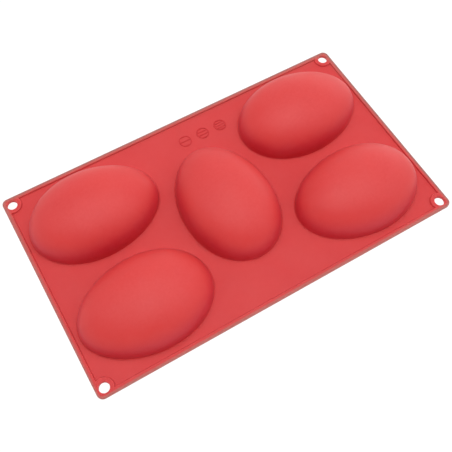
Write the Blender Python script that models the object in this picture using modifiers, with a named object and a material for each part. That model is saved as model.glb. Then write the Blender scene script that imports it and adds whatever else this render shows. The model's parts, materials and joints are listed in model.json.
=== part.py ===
"""Silicone soap mould: a flexible sheet with five egg-shaped cups, standing on its open face.

Metres, +Z up, +X along the long side. The origin is the middle of the open face, at z = 0.
The real thing is one moulding. Here it is divided along its own features: three sheet panels that
bend against each other, five cups that can be pressed in, the raised rim, four hanging eyelets and
three embossed marks.
"""

import math

import bmesh
import bpy
from mathutils import Matrix, Vector

# Driving dimensions
LENGTH = 0.300
WIDTH = 0.175
SHEET_THICKNESS = 0.0018
RIM_WIDTH = 0.0035
RIM_HEIGHT = 0.0030
CORNER_RADIUS = 0.0045

HOLE_INSET = 0.0067
HOLE_RADIUS = 0.0039
EYELET_RADIUS = 0.0072

CUP_LENGTH = 0.1028
CUP_WIDTH = 0.0734
CUP_RISE = 0.0285
CUP_TAPER = 0.052
CUP_WALL = 0.0020
CUP_X = 0.0914
CUP_Y = 0.0420

BEND_X = 0.03825
BEND_Z = RIM_HEIGHT / 2
BEND_GAP = 0.0013
GAP = 0.0003

MARK_Y = 0.0663
MARK_PITCH = 0.0160
MARK_RADIUS = 0.0052
MARK_LINE = 0.0007
MARK_HEIGHT = 0.0004

# Facets
CUP_SIDES = 36
CUP_RINGS = 8
CORNER_STEPS = 4
EYELET_STEPS = 10
HOLE_SIDES = 20
MARK_SIDES = 28

# Each cup's centre, and the heading of its narrower end in degrees
CUPS = {
    "cup_back_left": (-CUP_X, CUP_Y, 0),
    "cup_front_left": (-CUP_X, -CUP_Y, 180),
    "cup_centre": (0, 0, 90),
    "cup_back_right": (CUP_X, CUP_Y, 0),
    "cup_front_right": (CUP_X, -CUP_Y, 180),
}

# Lines that several outlines share, in the corner where X and Y are positive
HOLE = (LENGTH / 2 - HOLE_INSET, WIDTH / 2 - HOLE_INSET)
RIM_INNER_X = LENGTH / 2 - RIM_WIDTH
RIM_INNER_Y = WIDTH / 2 - RIM_WIDTH
BEND_NEAR = BEND_X - BEND_GAP / 2
BEND_FAR = BEND_X + BEND_GAP / 2

SILICONE = (0.70, 0.07, 0.07, 1)
SILICONE_PALE = (0.75, 0.10, 0.09, 1)


def clear_scene():
    for obj in list(bpy.data.objects):
        bpy.data.objects.remove(obj)


def silicone(name, colour):
    material = bpy.data.materials.new(name)
    material.use_nodes = True
    shader = material.node_tree.nodes["Principled BSDF"]
    shader.inputs["Base Color"].default_value = colour
    shader.inputs["Roughness"].default_value = 0.55
    shader.inputs["Metallic"].default_value = 0
    return material


def add(name, data, parent, colour=SILICONE, location=(0, 0, 0)):
    """Links a new object at a world location, carried by its parent empty."""
    obj = bpy.data.objects.new(name, data)
    collection.objects.link(obj)
    data.materials.append(silicone(name + "_silicone", colour))
    obj.location = location
    obj.parent = parent
    obj.matrix_parent_inverse = Matrix.Translation(-parent.location)
    return obj


def pivot(name, location):
    empty = bpy.data.objects.new(name, None)
    empty.empty_display_size = 0.02
    empty.location = location
    collection.objects.link(empty)
    return empty


def arc(centre, radius, start, end, steps):
    """Points along an arc from start to end degrees, both included."""
    turns = [math.radians(start + (end - start) * i / steps) for i in range(steps + 1)]
    return [(centre[0] + radius * math.cos(t), centre[1] + radius * math.sin(t)) for t in turns]


def circle(centre, radius, sides):
    return arc(centre, radius, 0, 360, sides)[:-1]


def mirrored(points, sign_x, sign_y):
    return [(sign_x * x, sign_y * y) for x, y in points]


def rectangle(low, high):
    return [low, (high[0], low[1]), high, (low[0], high[1])]


def egg(cup, grow):
    """The egg-shaped outline of a cup's foot, grown on all sides."""
    x, y, heading = CUPS[cup]
    turn = Matrix.Rotation(math.radians(heading), 2)
    points = []
    for cos_u, sin_u in circle((0, 0), 1, CUP_SIDES):
        along = (CUP_LENGTH / 2 + grow) * cos_u
        across = (CUP_WIDTH / 2 + grow) * sin_u * (1 - CUP_TAPER * cos_u)
        points.append(Vector((x, y)) + turn @ Vector((along, across)))
    return points


def plate(name, loops, low, high, parent, colour=SILICONE):
    """A flat piece from closed outlines: the first is its edge and the others are openings."""
    curve = bpy.data.curves.new(name, "CURVE")
    curve.dimensions = "2D"
    curve.fill_mode = "BOTH"
    curve.extrude = (high - low) / 2
    for loop in loops:
        spline = curve.splines.new("POLY")
        spline.points.add(len(loop) - 1)
        for point, (x, y) in zip(spline.points, loop):
            point.co = (x, y, 0, 1)
        spline.use_cyclic_u = True
    return add(name, curve, parent, colour, (0, 0, (low + high) / 2))


def sheet_notch():
    """The sheet's corner: an arc that runs round the eyelet, from the right edge to the back edge."""
    radius = EYELET_RADIUS + GAP
    lean = math.degrees(math.asin((HOLE_INSET - RIM_WIDTH - GAP) / radius))
    return arc(HOLE, radius, 270 + lean, 180 - lean, EYELET_STEPS)


def side_sheet(name, sign, cups, parent):
    back = RIM_INNER_Y - GAP
    notch = sheet_notch()
    edge = [(BEND_FAR, -back), *reversed(mirrored(notch, 1, -1)), *notch, (BEND_FAR, back)]
    openings = [egg(cup, GAP) for cup in cups]
    plate(name, [mirrored(edge, sign, 1), *openings], 0, SHEET_THICKNESS, parent)


def centre_sheet(parent):
    corner = (BEND_NEAR, RIM_INNER_Y - GAP)
    edge = rectangle((-corner[0], -corner[1]), corner)
    plate("sheet_centre", [edge, egg("cup_centre", GAP)], 0, SHEET_THICKNESS, parent)


def eyelet_reach():
    """How far along the rim an eyelet reaches from its hole."""
    return math.sqrt(EYELET_RADIUS**2 - (HOLE_INSET - RIM_WIDTH) ** 2)


def eyelet(name, sign_x, sign_y, parent):
    """A corner of the rim that widens into a round boss about the hanging hole."""
    lean = math.degrees(math.asin((HOLE_INSET - RIM_WIDTH) / EYELET_RADIUS))
    corner = (LENGTH / 2 - CORNER_RADIUS, WIDTH / 2 - CORNER_RADIUS)
    edge = [(HOLE[0] - eyelet_reach(), WIDTH / 2)]
    edge += arc(HOLE, EYELET_RADIUS, 180 - lean, 270 + lean, EYELET_STEPS)
    edge += [(LENGTH / 2, HOLE[1] - eyelet_reach())]
    edge += arc(corner, CORNER_RADIUS, 0, 90, CORNER_STEPS)
    loops = [edge, circle(HOLE, HOLE_RADIUS, HOLE_SIDES)]
    loops = [mirrored(loop, sign_x, sign_y) for loop in loops]
    plate(name, loops, 0, RIM_HEIGHT, parent, SILICONE_PALE)


def rim_bar(name, low, high, parent):
    """A straight stretch of rim between two points of its plan."""
    mesh = bpy.data.meshes.new(name)
    size = Vector((high[0] - low[0], high[1] - low[1], RIM_HEIGHT))
    shape = bmesh.new()
    bmesh.ops.create_cube(shape, size=1, matrix=Matrix.Diagonal(size).to_4x4())
    shape.to_mesh(mesh)
    shape.free()
    middle = ((low[0] + high[0]) / 2, (low[1] + high[1]) / 2, RIM_HEIGHT / 2)
    add(name, mesh, parent, SILICONE_PALE, middle)


def side_rims(side, sign, parent):
    """The rim of a side panel: its end, and the two stretches that run to the bend."""
    end_y = HOLE[1] - eyelet_reach() - GAP
    inner, outer = sorted((sign * RIM_INNER_X, sign * LENGTH / 2))
    rim_bar("rim_" + side, (inner, -end_y), (outer, end_y), parent)
    near, far = sorted((sign * BEND_FAR, sign * (HOLE[0] - eyelet_reach() - GAP)))
    rim_bar("rim_back_" + side, (near, RIM_INNER_Y), (far, WIDTH / 2), parent)
    rim_bar("rim_front_" + side, (near, -WIDTH / 2), (far, -RIM_INNER_Y), parent)


def centre_rims(parent):
    rim_bar("rim_back_centre", (-BEND_NEAR, RIM_INNER_Y), (BEND_NEAR, WIDTH / 2), parent)
    rim_bar("rim_front_centre", (-BEND_NEAR, -WIDTH / 2), (BEND_NEAR, -RIM_INNER_Y), parent)


def cup_skin():
    """The cup's outer skin about its own axis: half an egg on a short upright skirt, open below."""
    shape = bmesh.new()
    bmesh.ops.create_uvsphere(shape, u_segments=CUP_SIDES, v_segments=2 * CUP_RINGS, radius=1)
    lower = [v for v in shape.verts if v.co.z < -1e-4]
    bmesh.ops.delete(shape, geom=lower, context="VERTS")
    for v in shape.verts:
        narrow = 1 - CUP_TAPER * v.co.x
        v.co.x *= CUP_LENGTH / 2
        v.co.y *= CUP_WIDTH / 2 * narrow
        v.co.z = SHEET_THICKNESS + CUP_RISE * v.co.z * narrow
    foot = [e for e in shape.edges if e.is_boundary]
    skirt = bmesh.ops.extrude_edge_only(shape, edges=foot)["geom"]
    for v in skirt:
        if isinstance(v, bmesh.types.BMVert):
            v.co.z = 0
    bmesh.ops.recalc_face_normals(shape, faces=shape.faces)
    mesh = bpy.data.meshes.new("cup_skin")
    shape.to_mesh(mesh)
    shape.free()
    mesh.shade_smooth()
    return mesh


def cup(name, parent):
    """A cup whose origin lies on the line along which it is pressed in."""
    x, y, heading = CUPS[name]
    obj = add(name, cup_skin(), parent, location=(x, y, 0))
    obj.rotation_euler.z = math.radians(heading)
    wall = obj.modifiers.new("wall", "SOLIDIFY")
    wall.thickness = CUP_WALL
    wall.offset = -1
    wall.use_even_offset = True


def mark(name, x, bars, parent):
    """A raised ring crossed by level bars, standing on the sheet."""
    inner = MARK_RADIUS - MARK_LINE
    pitch = 2 * inner / (bars + 1)
    window = (pitch - MARK_LINE) / 2
    loops = [circle((x, MARK_Y), MARK_RADIUS, MARK_SIDES)]
    for i in range(bars + 1):
        middle = -inner + pitch * (i + 0.5)
        low = max(middle - window, -inner)
        high = min(middle + window, inner)
        first, last = (math.degrees(math.asin(v / inner)) for v in (low, high))
        right = arc((x, MARK_Y), inner, first, last, MARK_SIDES // (bars + 1) // 2)
        left = [(2 * x - px, py) for px, py in reversed(right)]
        loops.append([*right, *left])
    low = SHEET_THICKNESS + GAP
    plate(name, loops, low, low + MARK_HEIGHT, parent)


def build():
    centre = pivot("centre_panel", (0, 0, BEND_Z))
    centre_sheet(centre)
    centre_rims(centre)
    cup("cup_centre", centre)
    for i, name in enumerate(("mark_left", "mark_middle", "mark_right")):
        mark(name, i * MARK_PITCH, i + 1, centre)
    for side, sign in (("left", -1), ("right", 1)):
        panel = pivot(side + "_panel", (sign * BEND_X, 0, BEND_Z))
        cups = ("cup_back_" + side, "cup_front_" + side)
        side_sheet("sheet_" + side, sign, cups, panel)
        side_rims(side, sign, panel)
        eyelet("eyelet_back_" + side, sign, 1, panel)
        eyelet("eyelet_front_" + side, sign, -1, panel)
        for name in cups:
            cup(name, panel)


clear_scene()
collection = bpy.data.collections.new("silicone_soap_mould")
bpy.context.scene.collection.children.link(collection)
build()
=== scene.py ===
"""The looks of the silicone soap mould: its soft moulded surface, its material, a pale studio and a camera.

All lengths are in metres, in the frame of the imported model: +Z up, the open face on z = 0.
"""

import json
import math

import bmesh
import bpy
import numpy as np
from mathutils import Matrix, Vector
from mathutils.geometry import delaunay_2d_cdt

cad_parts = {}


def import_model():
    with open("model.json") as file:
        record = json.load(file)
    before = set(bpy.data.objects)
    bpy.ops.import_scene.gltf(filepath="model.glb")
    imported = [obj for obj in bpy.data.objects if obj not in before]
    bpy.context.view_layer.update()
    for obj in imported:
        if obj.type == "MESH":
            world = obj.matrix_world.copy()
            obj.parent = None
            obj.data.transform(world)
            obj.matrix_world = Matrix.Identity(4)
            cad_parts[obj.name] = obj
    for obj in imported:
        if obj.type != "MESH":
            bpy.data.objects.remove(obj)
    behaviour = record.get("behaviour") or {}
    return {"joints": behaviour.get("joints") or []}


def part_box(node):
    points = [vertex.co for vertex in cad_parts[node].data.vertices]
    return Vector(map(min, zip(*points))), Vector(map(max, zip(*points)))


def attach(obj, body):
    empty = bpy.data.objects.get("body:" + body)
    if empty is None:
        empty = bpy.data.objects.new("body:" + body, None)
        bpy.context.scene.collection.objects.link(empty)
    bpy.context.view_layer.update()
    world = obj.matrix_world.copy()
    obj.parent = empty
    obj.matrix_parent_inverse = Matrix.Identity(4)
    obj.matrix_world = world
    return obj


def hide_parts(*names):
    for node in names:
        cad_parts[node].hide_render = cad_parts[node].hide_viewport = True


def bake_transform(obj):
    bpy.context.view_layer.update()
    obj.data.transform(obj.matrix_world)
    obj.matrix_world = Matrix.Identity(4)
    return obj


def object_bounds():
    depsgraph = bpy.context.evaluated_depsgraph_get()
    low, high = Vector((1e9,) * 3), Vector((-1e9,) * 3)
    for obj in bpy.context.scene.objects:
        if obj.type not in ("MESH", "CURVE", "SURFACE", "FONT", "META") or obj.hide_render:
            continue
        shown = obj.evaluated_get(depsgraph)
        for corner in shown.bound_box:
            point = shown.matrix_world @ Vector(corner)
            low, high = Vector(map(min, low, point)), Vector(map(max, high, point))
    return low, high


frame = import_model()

CAD_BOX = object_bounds()

# Sizes and places read from the frame
HALF_X, HALF_Y = CAD_BOX[1].x, CAD_BOX[1].y
SHEET_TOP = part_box("sheet_centre")[1].z
RIM_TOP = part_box("rim_right")[1].z
RIM_INNER_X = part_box("rim_right")[0].x
RIM_INNER_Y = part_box("rim_back_centre")[0].y
JOINTS = {joint["name"]: joint for joint in frame["joints"]}
BEND_X = JOINTS["right_bend"]["pos_m"][0]

# The sheet: its corners, its rounded edges, half the width of the step at the rim, and the stretch that bends
EYELET_RADIUS = 0.0072
HOLE_RADIUS = 0.0039
HOLE_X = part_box("eyelet_back_right")[0].x + EYELET_RADIUS
HOLE_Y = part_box("eyelet_back_right")[0].y + EYELET_RADIUS
CORNER_RADIUS = 0.0045
EDGE_ROUND = 0.0006
STEP_HALF = 0.00035
BEND_ZONE = 0.010

# The cups: how much narrower each gets along its length, their wall, and the roundings at their foot and
# mouth
CUP_TAPER = 0.052
CUP_WALL = 0.0020
FOOT_FILLET = 0.0010
MOUTH_ROUND = 0.0006

# The marks
MARK_LINE = 0.0008
MARK_RELIEF = 0.0004
MARK_BEVEL = 0.22 * MARK_LINE

# A gap too small to see, and the distance under which two points are one
HAIRLINE = 0.00004
SAME_POINT = 1e-7

# Mesh spacing
EDGE_PITCH = 0.0016
GRID_PITCH = 0.0042
BEND_PITCH = 0.0010
FINE_BEND = 0.7 * BEND_ZONE
GRID_TO_RIM = 0.0018
GRID_TO_CUP = 0.0012
EGG_POINTS = 96
HOLE_POINTS = 36
RING_POINTS = 48
CUP_CUTS = 23

# Edges that bend by more degrees than this are shaded sharp, on flat pieces and on the curved ones
SHARP_FLAT = 40
SHARP_CURVED = 50

# Rows of the mesh: inwards from an edge, in roundings of it, and across the rim's step, in half widths of it
EDGE_ROWS = (0, 0.07, 0.3, 0.6, 1, 1.8, 2.7, 3.6)
HOLE_ROWS = EDGE_ROWS[:6]
STEP_ROWS = (-2.6, -1, -0.62, -0.3, 0.3, 0.62, 1, 2.6)

# Wear on the rim's lip and painted shade in the crease at its foot, in half widths of the step: begin, full,
# fall and end
LIP_BAND = (0.2, 1.0, 1.0, 2.6)
CREASE_SHADE_BAND = (-2.8, -1.0, -0.3, 0.6)
HOLE_WEAR = 1.6 * EDGE_ROUND

# Dust and a painted pale reflection along the outer edge, wider at the right and wider still at the back, and
# a painted grey reflection on those two sides
DUST_AND_REFLECTION_FADE = 0.0032
DUST_AND_REFLECTION_RIGHT = 0.2
DUST_AND_REFLECTION_BACK = 0.4
FAR_REFLECTION_WIDTH = 4 * EDGE_ROUND
FAR_REFLECTION_BLEND = 0.3

# Wear on the cups' crowns, by height above the sheet, painted shade on their slopes, by tilt in degrees, and
# wear on the tops of the marks
CROWN_WEAR = 0.4
CROWN_FROM, CROWN_TO = 0.016, 0.026
SLOPE_FROM, SLOPE_TO = 40, 70
MARK_WEAR = 0.1
MARK_TOP = SHEET_TOP + 0.9 * MARK_RELIEF

# Colours, as linear light
SHEET_RED = (0.64, 0.046, 0.046, 1)
CUP_RED = (0.65, 0.039, 0.036, 1)
# Painted shade: the marks' deeper red stands in for the shading of their fine relief
MARK_SHADE_RED = (0.57, 0.012, 0.015, 1)
DEEP = (0.58, 0.024, 0.030, 1)
# Painted shade in the crease at the foot of the rim's step and on the sides of the marks
CREASE_SHADE = (0.36, 0.014, 0.020, 1)
PALE = (0.76, 0.12, 0.12, 1)
# Dust and a painted pale reflection on the outer edge of the sheet
DUST_AND_EDGE_REFLECTION = (0.45, 0.142, 0.120, 1)
# Painted shade: the deeper crimson of the cups' steep slopes, which turn away from the light
SLOPE_SHADE = (0.56, 0.018, 0.030, 1)
# Painted grey reflection on the outer edges at the back and the right
FAR_EDGE_REFLECTION = (0.22, 0.125, 0.110, 1)
SHEEN = (1, 0.80, 0.76, 1)
WHITE = (1, 1, 1, 1)

# The floor: half its side, and how much further below it lies than the bent panels reach
FLOOR_HALF = 14.0
FLOOR_MARGIN = 1.05

# Each cup's narrower end points along this heading, in degrees
HEADINGS = {
    "back_left": 0,
    "front_left": 180,
    "centre": 90,
    "back_right": 0,
    "front_right": 180,
}


# Small helpers for shapes and masks


def ramp(value, start, end):
    """From 0 at start to 1 at end, eased at both."""
    t = np.clip((value - start) / (end - start), 0, 1)
    return t * t * (3 - 2 * t)


def band(value, begin, full, fall, end):
    """1 between full and fall, eased down to 0 at begin and at end."""
    return ramp(value, begin, full) * (1 - ramp(value, fall, end))


def arc(centre, radius, start, end, steps=14):
    """Points along an arc from start to end degrees, both included."""
    turns = np.radians(np.linspace(start, end, steps + 1))
    return [(centre[0] + radius * math.cos(t), centre[1] + radius * math.sin(t)) for t in turns]


def circle(centre, radius, count):
    """Points round a whole circle, each given once."""
    return arc(centre, radius, 0, 360, count)[:-1]


def dense(points, pitch):
    """The same open line with points added, so that no stretch is longer than pitch."""
    found = []
    for a, b in zip(points, points[1:]):
        steps = max(1, math.ceil(math.dist(a, b) / pitch))
        found += [tuple(np.array(a) + (np.array(b) - np.array(a)) * i / steps) for i in range(steps)]
    return found + [points[-1]]


def make_mesh(name, vertices, faces, sharp_degrees=SHARP_FLAT):
    mesh = bpy.data.meshes.new(name)
    mesh.from_pydata([tuple(v) for v in vertices], [], faces)
    mesh.validate()
    mesh.shade_smooth()
    mesh.set_sharp_from_angle(angle=math.radians(sharp_degrees))
    obj = bpy.data.objects.new(name, mesh)
    bpy.context.scene.collection.objects.link(obj)
    return obj


def write_mask(obj, name, values):
    """A number from 0 to 1 at each vertex, which the material reads. A mask that isn't written reads as 0."""
    mask = obj.data.attributes.new(name, "FLOAT", "POINT")
    mask.data.foreach_set("value", np.asarray(values, np.float32))


# The sheet with its rim and eyelets, in two halves that meet under the middle cup


def outer_half(inset):
    """The outer edge where X is positive, from front to back, moved inwards."""
    radius = CORNER_RADIUS - inset
    x, y = HALF_X - CORNER_RADIUS, HALF_Y - CORNER_RADIUS
    front = arc((x, -y), radius, -90, 0, steps=8)
    back = arc((x, y), radius, 0, 90, steps=8)
    return [(0, inset - HALF_Y), *front, *back, (0, HALF_Y - inset)]


def rim_half(outwards):
    """The rim's inner edge where X is positive, with its detour round each eyelet, moved outwards."""
    radius = EYELET_RADIUS - outwards
    lean = math.degrees(math.asin((RIM_INNER_Y + outwards - HOLE_Y) / radius))
    back = arc((HOLE_X, HOLE_Y), radius, 270 + lean, 180 - lean)
    front = [(x, -y) for x, y in reversed(back)]
    y = RIM_INNER_Y + outwards
    return [(0, -y), *front, *back, (0, y)]


def egg_shape(heading, half_length, half_width, turns):
    """Points of an egg about the origin at these turns of its own angle, with outward normals."""
    cos_u, sin_u = np.cos(turns), np.sin(turns)
    narrow = 1 - CUP_TAPER * cos_u
    points = np.stack([half_length * cos_u, half_width * sin_u * narrow], 1)
    run = np.stack([-half_length * sin_u, half_width * (cos_u * narrow + CUP_TAPER * sin_u**2)], 1)
    normals = np.stack([run[:, 1], -run[:, 0]], 1)
    normals /= np.linalg.norm(normals, axis=1, keepdims=True)
    angle = math.radians(heading)
    turn = np.array([[math.cos(angle), -math.sin(angle)], [math.sin(angle), math.cos(angle)]])
    return points @ turn.T, normals @ turn.T


def cup_place(cup):
    """A cup's middle, half length and half width, from its box."""
    low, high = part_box("cup_" + cup)
    size = (high - low) / 2
    return (low + high) / 2, max(size.x, size.y), min(size.x, size.y)


def in_cup(points, cup, grow=0.0):
    """Which plan points lie inside a cup's footprint, or inside one grown by this much."""
    middle, half_length, half_width = cup_place(cup)
    angle = math.radians(HEADINGS[cup])
    across = points - np.array([middle.x, middle.y])
    along = (across[:, 0] * math.cos(angle) + across[:, 1] * math.sin(angle)) / (half_length + grow)
    aside = (across[:, 1] * math.cos(angle) - across[:, 0] * math.sin(angle)) / (half_width + grow)
    return along**2 + (aside / (1 - CUP_TAPER * along)) ** 2 < 1


def rim_depth(points):
    """How far plan points lie into the rim or an eyelet, and negative on the sheet."""
    x, y = np.abs(points[:, 0]), np.abs(points[:, 1])
    straight = np.maximum(x - RIM_INNER_X, y - RIM_INNER_Y)
    return np.maximum(straight, EYELET_RADIUS - np.hypot(x - HOLE_X, y - HOLE_Y))


def edge_inset(points):
    """How far plan points lie inside the outer edge."""
    x = np.abs(points[:, 0]) - (HALF_X - CORNER_RADIUS)
    y = np.abs(points[:, 1]) - (HALF_Y - CORNER_RADIUS)
    outside = np.hypot(np.maximum(x, 0), np.maximum(y, 0)) + np.minimum(np.maximum(x, y), 0)
    return CORNER_RADIUS - outside


def hole_distance(points):
    """How far plan points lie outside the nearest corner hole."""
    x, y = np.abs(points[:, 0]), np.abs(points[:, 1])
    return np.hypot(x - HOLE_X, y - HOLE_Y) - HOLE_RADIUS


def rounding(distance):
    """The drop of a rounded edge at this distance from it."""
    inward = np.clip(EDGE_ROUND - distance, 0, EDGE_ROUND)
    return EDGE_ROUND - np.sqrt(EDGE_ROUND**2 - inward**2)


def top_height(points):
    rise = ramp(rim_depth(points), -STEP_HALF, STEP_HALF)
    height = SHEET_TOP + (RIM_TOP - SHEET_TOP) * rise
    return height - rounding(edge_inset(points)) - rounding(hole_distance(points))


def half_outlines(sign, cups):
    """Open and closed outlines in the half sheet's mesh. The last open one is half of the middle cup's."""
    halves = [outer_half(EDGE_ROUND * i) for i in EDGE_ROWS] + [rim_half(STEP_HALF * s) for s in STEP_ROWS]
    opened = [[(sign * x, y) for x, y in dense(half, EDGE_PITCH)] for half in halves]
    closed = []
    for y in (-HOLE_Y, HOLE_Y):
        closed += [circle((sign * HOLE_X, y), HOLE_RADIUS + EDGE_ROUND * i, HOLE_POINTS) for i in HOLE_ROWS]
    full = np.linspace(0, 2 * math.pi, EGG_POINTS, endpoint=False)
    for cup in cups:
        middle, half_length, half_width = cup_place(cup)
        points, normals = egg_shape(HEADINGS[cup], half_length, half_width, full)
        closed.append([tuple(p) for p in points + normals * HAIRLINE + np.array([middle.x, middle.y])])
    _, half_length, half_width = cup_place("centre")
    turns = np.linspace(0, -sign * math.pi, EGG_POINTS // 2 + 1)
    points, normals = egg_shape(HEADINGS["centre"], half_length, half_width, turns)
    points += normals * HAIRLINE
    points[[0, -1], 0] = 0
    opened.append([tuple(p) for p in points])
    return opened, closed


def grid_points(sign, cups):
    """Points spread over the flat of the half sheet, closer together where it bends."""
    flat = np.arange(GRID_PITCH, HALF_X, GRID_PITCH)
    bend = np.arange(BEND_X - FINE_BEND, BEND_X + FINE_BEND, BEND_PITCH)
    columns = np.concatenate([flat[np.abs(flat - BEND_X) > FINE_BEND + GRID_PITCH / 3], bend])
    rows = np.arange(-HALF_Y, HALF_Y, GRID_PITCH) + GRID_PITCH / 2
    points = np.array([(sign * x, y) for x in columns for y in rows])
    keep = rim_depth(points) < -GRID_TO_RIM
    for cup in (*cups, "centre"):
        keep &= ~in_cup(points, cup, GRID_TO_CUP)
    return points[keep]


def middle_edges(points, opening):
    """Edges along x = 0, where the two halves meet, on both sides of the middle cup's opening."""
    line = sorted((y, i) for i, (x, y) in enumerate(points) if abs(x) < SAME_POINT)
    return [(a, b) for (y0, a), (y1, b) in zip(line, line[1:]) if abs(y0 + y1) / 2 > opening]


def half_sheet(name, sign, cups):
    """One closed half of the sheet: a top that follows the outlines, walls, and a flat underside."""
    opened, closed = half_outlines(sign, cups)
    points, edges = [], []
    for outline in opened + closed:
        first = len(points)
        points += outline
        edges += [(first + i, first + i + 1) for i in range(len(outline) - 1)]
        if outline in closed:
            edges.append((len(points) - 1, first))
    half_cup = opened[-1]
    edges += middle_edges(points, max(y for x, y in half_cup))
    points += [tuple(p) for p in grid_points(sign, cups)]
    flat, _, triangles, *_ = delaunay_2d_cdt([Vector(p) for p in points], edges, [], 0, SAME_POINT)
    flat = np.array(flat)
    centres = flat[np.array(triangles)].mean(axis=1)
    solid = (hole_distance(centres) > 0) & (centres[:, 0] * sign > 0)
    for cup in (*cups, "centre"):
        solid &= ~in_cup(centres, cup, HAIRLINE)
    triangles = [tuple(t) for t, kept in zip(triangles, solid) if kept]
    return close_sheet(name, flat, triangles)


def close_sheet(name, flat, triangles):
    """A closed solid from a plan of triangles: raised on top, level below, with its masks."""
    used = sorted({i for t in triangles for i in t})
    new = {old: i for i, old in enumerate(used)}
    triangles = [tuple(new[i] for i in t) for t in triangles]
    flat = flat[used]
    count = len(flat)
    directed = {(a, b) for t in triangles for a, b in zip(t, (*t[1:], t[0]))}
    walls = [(b, a, a + count, b + count) for a, b in directed if (b, a) not in directed]
    below = [tuple(i + count for i in reversed(t)) for t in triangles]
    vertices = np.concatenate([np.c_[flat, top_height(flat)], np.c_[flat, np.zeros(count)]])
    sheet = make_mesh(name, vertices, triangles + below + sorted(walls))
    for mask, (top, underside) in sheet_masks(flat).items():
        write_mask(sheet, mask, np.concatenate([top, underside]))
    return sheet


def sheet_masks(flat):
    """Where the sheet is worn, painted with shade in its crease, dusty with a painted pale edge reflection,
    and painted with a grey reflection at the back and right: each mask on its top and on its underside.
    """
    clean = np.zeros(len(flat))
    depth = rim_depth(flat) / STEP_HALF
    inset = edge_inset(flat)
    right, back = flat[:, 0] / HALF_X, flat[:, 1] / HALF_Y
    # The band of dust and painted edge reflection widens towards the right and the back
    fade = DUST_AND_REFLECTION_FADE * (1 + DUST_AND_REFLECTION_RIGHT * right + DUST_AND_REFLECTION_BACK * back)
    at_edge = inset < EDGE_ROUND / 20
    worn_hole = 1 - ramp(hole_distance(flat), 0, HOLE_WEAR)
    # The back and right edges, where the grey reflection is painted
    far_side = ramp(right + back, -FAR_REFLECTION_BLEND, FAR_REFLECTION_BLEND)
    return {
        "wear": (np.maximum(band(depth, *LIP_BAND), worn_hole), clean),
        # Painted shade in the crease at the foot of the rim's step
        "crease_shade": (band(depth, *CREASE_SHADE_BAND), clean),
        # Dust and a painted pale reflection along the outer edge
        "dust_and_edge_reflection": (1 - ramp(inset, EDGE_ROUND, EDGE_ROUND + fade), at_edge),
        # Painted grey reflection on the back and right edges
        "far_edge_reflection": (far_side * (1 - ramp(inset, 0, FAR_REFLECTION_WIDTH)), clean),
    }


# The cups


def dome_patch():
    """Half a unit sphere of squares: its points, its faces and the order of its open edge."""
    shape = bmesh.new()
    bmesh.ops.create_cube(shape, size=2)
    bmesh.ops.subdivide_edges(shape, edges=shape.edges, cuts=CUP_CUTS, use_grid_fill=True)
    lower = [v for v in shape.verts if v.co.z < -SAME_POINT]
    bmesh.ops.delete(shape, geom=lower, context="VERTS")
    for v in shape.verts:
        x, y, z = (math.tan(c * math.pi / 4) for c in v.co)
        v.co = Vector((x, y, z)).normalized()
    shape.verts.index_update()
    points = np.array([v.co for v in shape.verts])
    faces = [tuple(v.index for v in f.verts) for f in shape.faces]
    rim = [v.index for v in shape.verts if v.is_boundary]
    shape.free()
    rim.sort(key=lambda i: math.atan2(points[i][1], points[i][0]))
    return points, faces, rim


def egg_dome(points, heading, half_length, half_width, base, rise):
    """The unit patch stretched into half an egg that stands on the height base."""
    narrow = 1 - CUP_TAPER * points[:, 0]
    highest = 1 + CUP_TAPER**2 / 2
    x, y = points[:, 0] * half_length, points[:, 1] * half_width * narrow
    angle = math.radians(heading)
    return np.stack(
        [
            x * math.cos(angle) - y * math.sin(angle),
            x * math.sin(angle) + y * math.cos(angle),
            base + rise * points[:, 2] * narrow / highest,
        ],
        1,
    )


def cup_skirt():
    """(offset outwards from the footprint, height) down the foot, under it and up to the inner wall."""
    turns = [math.radians(a) for a in (22, 45, 65, 90)]
    rows = [(FOOT_FILLET * (1 - math.cos(a)), SHEET_TOP + FOOT_FILLET * (1 - math.sin(a))) for a in turns]
    rows[-1] = (FOOT_FILLET, SHEET_TOP - HAIRLINE)
    rows += [(FOOT_FILLET * 0.9, SHEET_TOP - 4 * HAIRLINE), (0, SHEET_TOP - 8 * HAIRLINE), (0, 0)]
    for a in (90, 60, 30, 0):
        turn = math.radians(a)
        rows.append((MOUTH_ROUND * (1 - math.cos(turn)) - CUP_WALL, MOUTH_ROUND * (1 - math.sin(turn))))
    return rows


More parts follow.
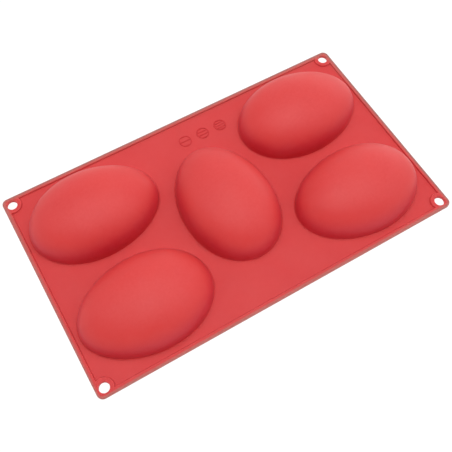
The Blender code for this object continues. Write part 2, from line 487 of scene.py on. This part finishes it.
def cup_skin(cup, patch):
    """A cup as one closed wall, with a fillet where its foot meets the sheet."""
    points, faces, rim = patch
    middle, half_length, half_width = cup_place(cup)
    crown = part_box("cup_" + cup)[1].z
    base = SHEET_TOP + FOOT_FILLET
    heading = HEADINGS[cup]
    outer = egg_dome(points, heading, half_length, half_width, base, crown - base)
    inside = (half_length - CUP_WALL, half_width - CUP_WALL)
    inner = egg_dome(points, heading, *inside, base, crown - base - CUP_WALL)
    turns = np.arctan2(points[rim, 1], points[rim, 0])
    foot, normals = egg_shape(heading, half_length, half_width, turns)
    vertices, rows = [outer], [rim]
    count = len(points)
    for offset, height in cup_skirt():
        rows.append(list(range(count, count + len(rim))))
        vertices.append(np.c_[foot + normals * offset, np.full(len(rim), height)])
        count += len(rim)
    rows.append([i + count for i in rim])
    vertices.append(inner)
    all_faces = faces + [tuple(i + count for i in reversed(f)) for f in faces]
    for upper, lower in zip(rows, rows[1:]):
        for i in range(len(rim)):
            j = (i + 1) % len(rim)
            all_faces.append((upper[j], upper[i], lower[i], lower[j]))
    vertices = np.concatenate(vertices) + np.array([middle.x, middle.y, 0])
    skin = make_mesh("cup_skin_" + cup, vertices, all_faces, SHARP_CURVED)
    write_mask(skin, "wear", CROWN_WEAR * ramp(vertices[:, 2] - SHEET_TOP, CROWN_FROM, CROWN_TO))
    # Painted shade: a mask that deepens the cups' colour on their steep slopes
    tilt = np.degrees([math.acos(min(abs(v.normal.z), 1)) for v in skin.data.vertices])
    write_mask(skin, "slope_shade", ramp(tilt, SLOPE_FROM, SLOPE_TO))
    return skin


# The embossed marks


def mark_outlines(middle, radius, bars):
    """A ring crossed by level bars: its outer circle, and the openings between the bars."""
    inner = radius - MARK_LINE
    pitch = 2 * inner / (bars + 1)
    loops = [circle(middle, radius, RING_POINTS)]
    for i in range(bars + 1):
        centre = -inner + pitch * (i + 0.5)
        ends = [max(centre - (pitch - MARK_LINE) / 2, -inner), min(centre + (pitch - MARK_LINE) / 2, inner)]
        first, last = (math.degrees(math.asin(v / inner)) for v in ends)
        right = arc(middle, inner, first, last, steps=12)
        loops.append(right + [(2 * middle.x - x, y) for x, y in reversed(right)])
    return loops


def mark_skin(name, bars):
    """A softly raised mark, with rounded edges, on the sheet."""
    low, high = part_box(name)
    curve = bpy.data.curves.new(name, "CURVE")
    curve.dimensions, curve.fill_mode = "2D", "BOTH"
    curve.bevel_depth, curve.bevel_resolution = MARK_BEVEL, 2
    curve.offset = -MARK_BEVEL
    curve.extrude = MARK_RELIEF - MARK_BEVEL
    for loop in mark_outlines((low + high) / 2, (high.x - low.x) / 2, bars):
        spline = curve.splines.new("POLY")
        spline.points.add(len(loop) - 1)
        for point, (x, y) in zip(spline.points, loop):
            point.co = (x, y, 0, 1)
        spline.use_cyclic_u = True
    outline = bpy.data.objects.new(name + "_outline", curve)
    outline.location.z = SHEET_TOP
    bpy.context.scene.collection.objects.link(outline)
    bpy.context.view_layer.update()
    mesh = bpy.data.meshes.new_from_object(outline.evaluated_get(bpy.context.evaluated_depsgraph_get()))
    mesh.transform(outline.matrix_world)
    bpy.data.objects.remove(outline)
    shape = bmesh.new()
    shape.from_mesh(mesh)
    bmesh.ops.remove_doubles(shape, verts=shape.verts, dist=SAME_POINT)
    bmesh.ops.recalc_face_normals(shape, faces=shape.faces)
    shape.to_mesh(mesh)
    shape.free()
    mesh.materials.clear()
    mesh.shade_smooth()
    mesh.set_sharp_from_angle(angle=math.radians(SHARP_CURVED))
    skin = bpy.data.objects.new(name.replace("mark_", "mark_skin_"), mesh)
    bpy.context.scene.collection.objects.link(skin)
    return skin


# Materials


class Nodes:
    """A material's node tree, with short calls that add and link nodes."""

    def __init__(self, name):
        self.material = bpy.data.materials.new(name)
        self.material.use_nodes = True
        self.tree = self.material.node_tree
        self.shader = self.tree.nodes["Principled BSDF"]
        self.place = self.tree.nodes.new("ShaderNodeTexCoord").outputs["Object"]

    def fill(self, socket, value):
        """Links an output to the socket, or writes a plain value into it."""
        if isinstance(value, bpy.types.NodeSocket):
            self.tree.links.new(value, socket)
        else:
            socket.default_value = value

    def add(self, kind, inputs=(), **settings):
        node = self.tree.nodes.new("ShaderNode" + kind)
        for name, value in settings.items():
            setattr(node, name, value)
        for name, value in dict(inputs).items():
            self.fill(node.inputs[name], value)
        return node

    def noise(self, scale, detail):
        sockets = {"Vector": self.place, "Scale": scale, "Detail": detail, "Roughness": 0.55}
        return self.add("TexNoise", sockets).outputs["Fac"]

    def span(self, value, low, high, to_low=0.0, to_high=1.0):
        sockets = {"Value": value, "From Min": low, "From Max": high, "To Min": to_low, "To Max": to_high}
        return self.add("MapRange", sockets).outputs["Result"]

    def math(self, operation, a, b):
        node = self.add("Math", operation=operation)
        self.fill(node.inputs[0], a)
        self.fill(node.inputs[1], b)
        return node.outputs["Value"]

    def mask(self, name):
        return self.add("Attribute", attribute_name=name).outputs["Fac"]

    def tint(self, colour, towards, where, strength=1.0):
        """The colour, moved towards another one where a value from 0 to 1 says so."""
        node = self.add("Mix", data_type="RGBA")
        factor, a, b = (socket for socket in node.inputs if socket.enabled)
        self.fill(factor, self.math("MULTIPLY", where, strength))
        self.fill(a, colour)
        self.fill(b, towards)
        return next(socket for socket in node.outputs if socket.enabled)

    def shade(self, **values):
        """Fills the shader's sockets, whose names are written here with _ for each space."""
        for name, value in values.items():
            self.fill(self.shader.inputs[name.replace("_", " ")], value)


def silicone(name, base, roughness):
    """Soft matte silicone: clouded red, moulded grain, worn high spots, painted shade in creases and on steep
    slopes, and dusty edges with a painted reflection on them.
    """
    n = Nodes(name)
    clouds = n.span(n.noise(scale=26, detail=4), 0.32, 0.68)
    mottle = n.span(n.noise(scale=240, detail=3), 0.35, 0.7)
    speck = n.span(n.noise(scale=2600, detail=2), 0.68, 0.78)
    scuffs = n.span(n.noise(scale=520, detail=4), 0.3, 0.7, 0.35, 0.9)
    patches = n.span(n.noise(scale=300, detail=4), 0.3, 0.7, 0.7, 1.0)
    colour = n.tint(base, DEEP, clouds, strength=0.3)
    # Painted shade, a deeper red on the cups' steep slopes
    colour = n.tint(colour, SLOPE_SHADE, n.mask("slope_shade"))
    colour = n.tint(colour, PALE, mottle, strength=0.06)
    colour = n.tint(colour, PALE, speck, strength=0.08)
    # Painted shade in creases
    colour = n.tint(colour, CREASE_SHADE, n.mask("crease_shade"), strength=0.3)
    colour = n.tint(colour, PALE, n.math("MULTIPLY", n.mask("wear"), scuffs), strength=0.5)
    # Dust and a painted pale reflection on the sheet's edges
    colour = n.tint(colour, DUST_AND_EDGE_REFLECTION, n.math("MULTIPLY", n.mask("dust_and_edge_reflection"), patches))
    # Painted grey reflection on the back and right edges
    colour = n.tint(colour, FAR_EDGE_REFLECTION, n.mask("far_edge_reflection"), strength=0.55)
    uneven = n.span(n.noise(scale=60, detail=4), 0.3, 0.7, roughness - 0.05, roughness + 0.05)
    coarse = n.math("MULTIPLY", n.noise(scale=700, detail=3), 1.6)
    grain = n.math("ADD", n.noise(scale=3400, detail=2), coarse)
    waves = n.noise(scale=70, detail=2)
    ripple = n.add("Bump", {"Height": waves, "Strength": 0.12, "Distance": 0.0010}).outputs["Normal"]
    bump = n.add("Bump", {"Height": grain, "Strength": 0.10, "Distance": 0.00010, "Normal": ripple})
    n.shade(
        Base_Color=colour,
        Roughness=n.math("ADD", uneven, n.math("MULTIPLY", speck, 0.06)),
        Normal=bump.outputs["Normal"],
        IOR=1.41,
        Specular_IOR_Level=0.5,
        Sheen_Weight=0.05,
        Sheen_Roughness=0.35,
        Sheen_Tint=SHEEN,
        Subsurface_Weight=0.12,
        Subsurface_Radius=(1.0, 0.22, 0.16),
        Subsurface_Scale=0.0022,
    )
    return n.material


def pale_floor():
    """A surface that gives off its own white light, so that no shadow shows on it."""
    n = Nodes("pale_floor")
    tone = n.span(n.noise(scale=3, detail=2), 0.3, 0.7, 0.03, 0.05)
    grey = n.add("CombineColor", {"Red": tone, "Green": tone, "Blue": tone}).outputs["Color"]
    n.shade(Base_Color=grey, Roughness=0.9, Emission_Color=WHITE, Emission_Strength=1.0)
    return n.material


# The studio


def floor():
    """A light table, a little further below the mould than its panels reach when they are bent down."""
    reach = (HALF_X - BEND_X) * math.sin(math.radians(JOINTS["right_bend"]["range_deg"][1]))
    ends = ((-1, -1), (1, -1), (1, 1), (-1, 1))
    corners = [(x * FLOOR_HALF, y * FLOOR_HALF, -FLOOR_MARGIN * reach) for x, y in ends]
    plane = make_mesh("floor", corners, [(0, 1, 2, 3)])
    plane.data.materials.append(pale_floor())


def softbox(name, location, size, power, target=(0, 0, 0)):
    """A soft light that faces target, which is the middle of the mould's open face unless it is given."""
    light = bpy.data.lights.new(name, "AREA")
    light.shape = "RECTANGLE"
    light.size, light.size_y = size
    light.energy = power
    lamp = bpy.data.objects.new(name, light)
    lamp.location = location
    lamp.rotation_mode = "QUATERNION"
    lamp.rotation_quaternion = (Vector(target) - Vector(location)).to_track_quat("-Z", "Y")
    bpy.context.scene.collection.objects.link(lamp)


def world(zenith, horizon):
    """A surround that is brightest round the horizon."""
    surround = bpy.data.worlds.new("studio")
    surround.use_nodes = True
    tree = surround.node_tree
    place = tree.nodes.new("ShaderNodeTexCoord").outputs["Generated"]
    split = tree.nodes.new("ShaderNodeSeparateXYZ")
    span = tree.nodes.new("ShaderNodeMapRange")
    for name, value in {"From Min": 0.2, "From Max": 0.5, "To Min": horizon, "To Max": zenith}.items():
        span.inputs[name].default_value = value
    tree.links.new(place, split.inputs["Vector"])
    tree.links.new(split.outputs["Z"], span.inputs["Value"])
    tree.links.new(span.outputs["Result"], tree.nodes["Background"].inputs["Strength"])
    tree.nodes["Background"].inputs["Color"].default_value = WHITE
    bpy.context.scene.world = surround


def camera(azimuth, elevation, distance, target, lens, roll):
    """Looks at target from a distance. Azimuth 0 looks along +Y."""
    a, e = math.radians(azimuth), math.radians(elevation)
    back = Vector((math.sin(a) * math.cos(e), -math.cos(a) * math.cos(e), math.sin(e)))
    data = bpy.data.cameras.new("camera")
    data.lens = lens
    data.sensor_width = 36
    data.clip_start = 0.01
    data.clip_end = 100
    view = bpy.data.objects.new("camera", data)
    view.location = Vector(target) + back * distance
    view.rotation_mode = "QUATERNION"
    turn = Matrix.Rotation(math.radians(roll), 3, "Z").to_quaternion()
    view.rotation_quaternion = (-back).to_track_quat("-Z", "Y") @ turn
    bpy.context.scene.collection.objects.link(view)
    bpy.context.scene.camera = view


# The pieces, with the left and middle marks on the centre panel's body


def build_sheets(material):
    for side, sign in (("left", -1), ("right", 1)):
        cups = ("back_" + side, "front_" + side)
        sheet = half_sheet("sheet_skin_" + side, sign, cups)
        sheet.data.materials.append(material)
        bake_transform(sheet)
        own = ["sheet_", "rim_", "rim_back_", "rim_front_", "eyelet_back_", "eyelet_front_"]
        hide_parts(*(name + side for name in own))
        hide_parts("sheet_centre", "rim_back_centre", "rim_front_centre")


def build_cups(material):
    patch = dome_patch()
    for cup in HEADINGS:
        skin = cup_skin(cup, patch)
        skin.data.materials.append(material)
        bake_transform(skin)
        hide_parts("cup_" + cup)


def build_marks(material):
    for bars, name in enumerate(("mark_left", "mark_middle", "mark_right"), 1):
        skin = mark_skin(name, bars)
        skin.data.materials.append(material)
        top = np.array([v.co.z for v in skin.data.vertices]) > MARK_TOP
        write_mask(skin, "wear", MARK_WEAR * top)
        # Painted shade on the sides of the mark
        write_mask(skin, "crease_shade", ~top)
        if name == "mark_right":
            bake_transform(skin)
        else:
            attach(skin, "centre_panel")
        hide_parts(name)


build_sheets(silicone("sheet_silicone", SHEET_RED, roughness=0.62))
build_cups(silicone("cup_silicone", CUP_RED, roughness=0.54))
# The marks' deeper red is painted shade, for the shading of their fine relief
build_marks(silicone("mark_silicone", MARK_SHADE_RED, roughness=0.62))

floor()
world(zenith=0.04, horizon=1.16)
softbox("overhead", (0, 0, 1.2), size=(1.2, 1.2), power=11.8)
softbox("right", (0.856, -0.498, 0.99), size=(1, 1), power=4.4)
softbox("back", (0.498, 0.856, 0.99), size=(1, 1), power=1.7)
softbox("low", (1.243, 0.574, 0.30), size=(1.0, 0.4), power=2.8)
softbox("left", (-0.856, 0.498, 0.99), size=(1, 1), power=3.2)
camera(
    azimuth=-31.32,
    elevation=63.17,
    distance=0.5144,
    target=(-0.00996, -0.01567, 0),
    lens=53.86,
    roll=1.09,
)
bpy.context.scene.view_settings.view_transform = "Standard"
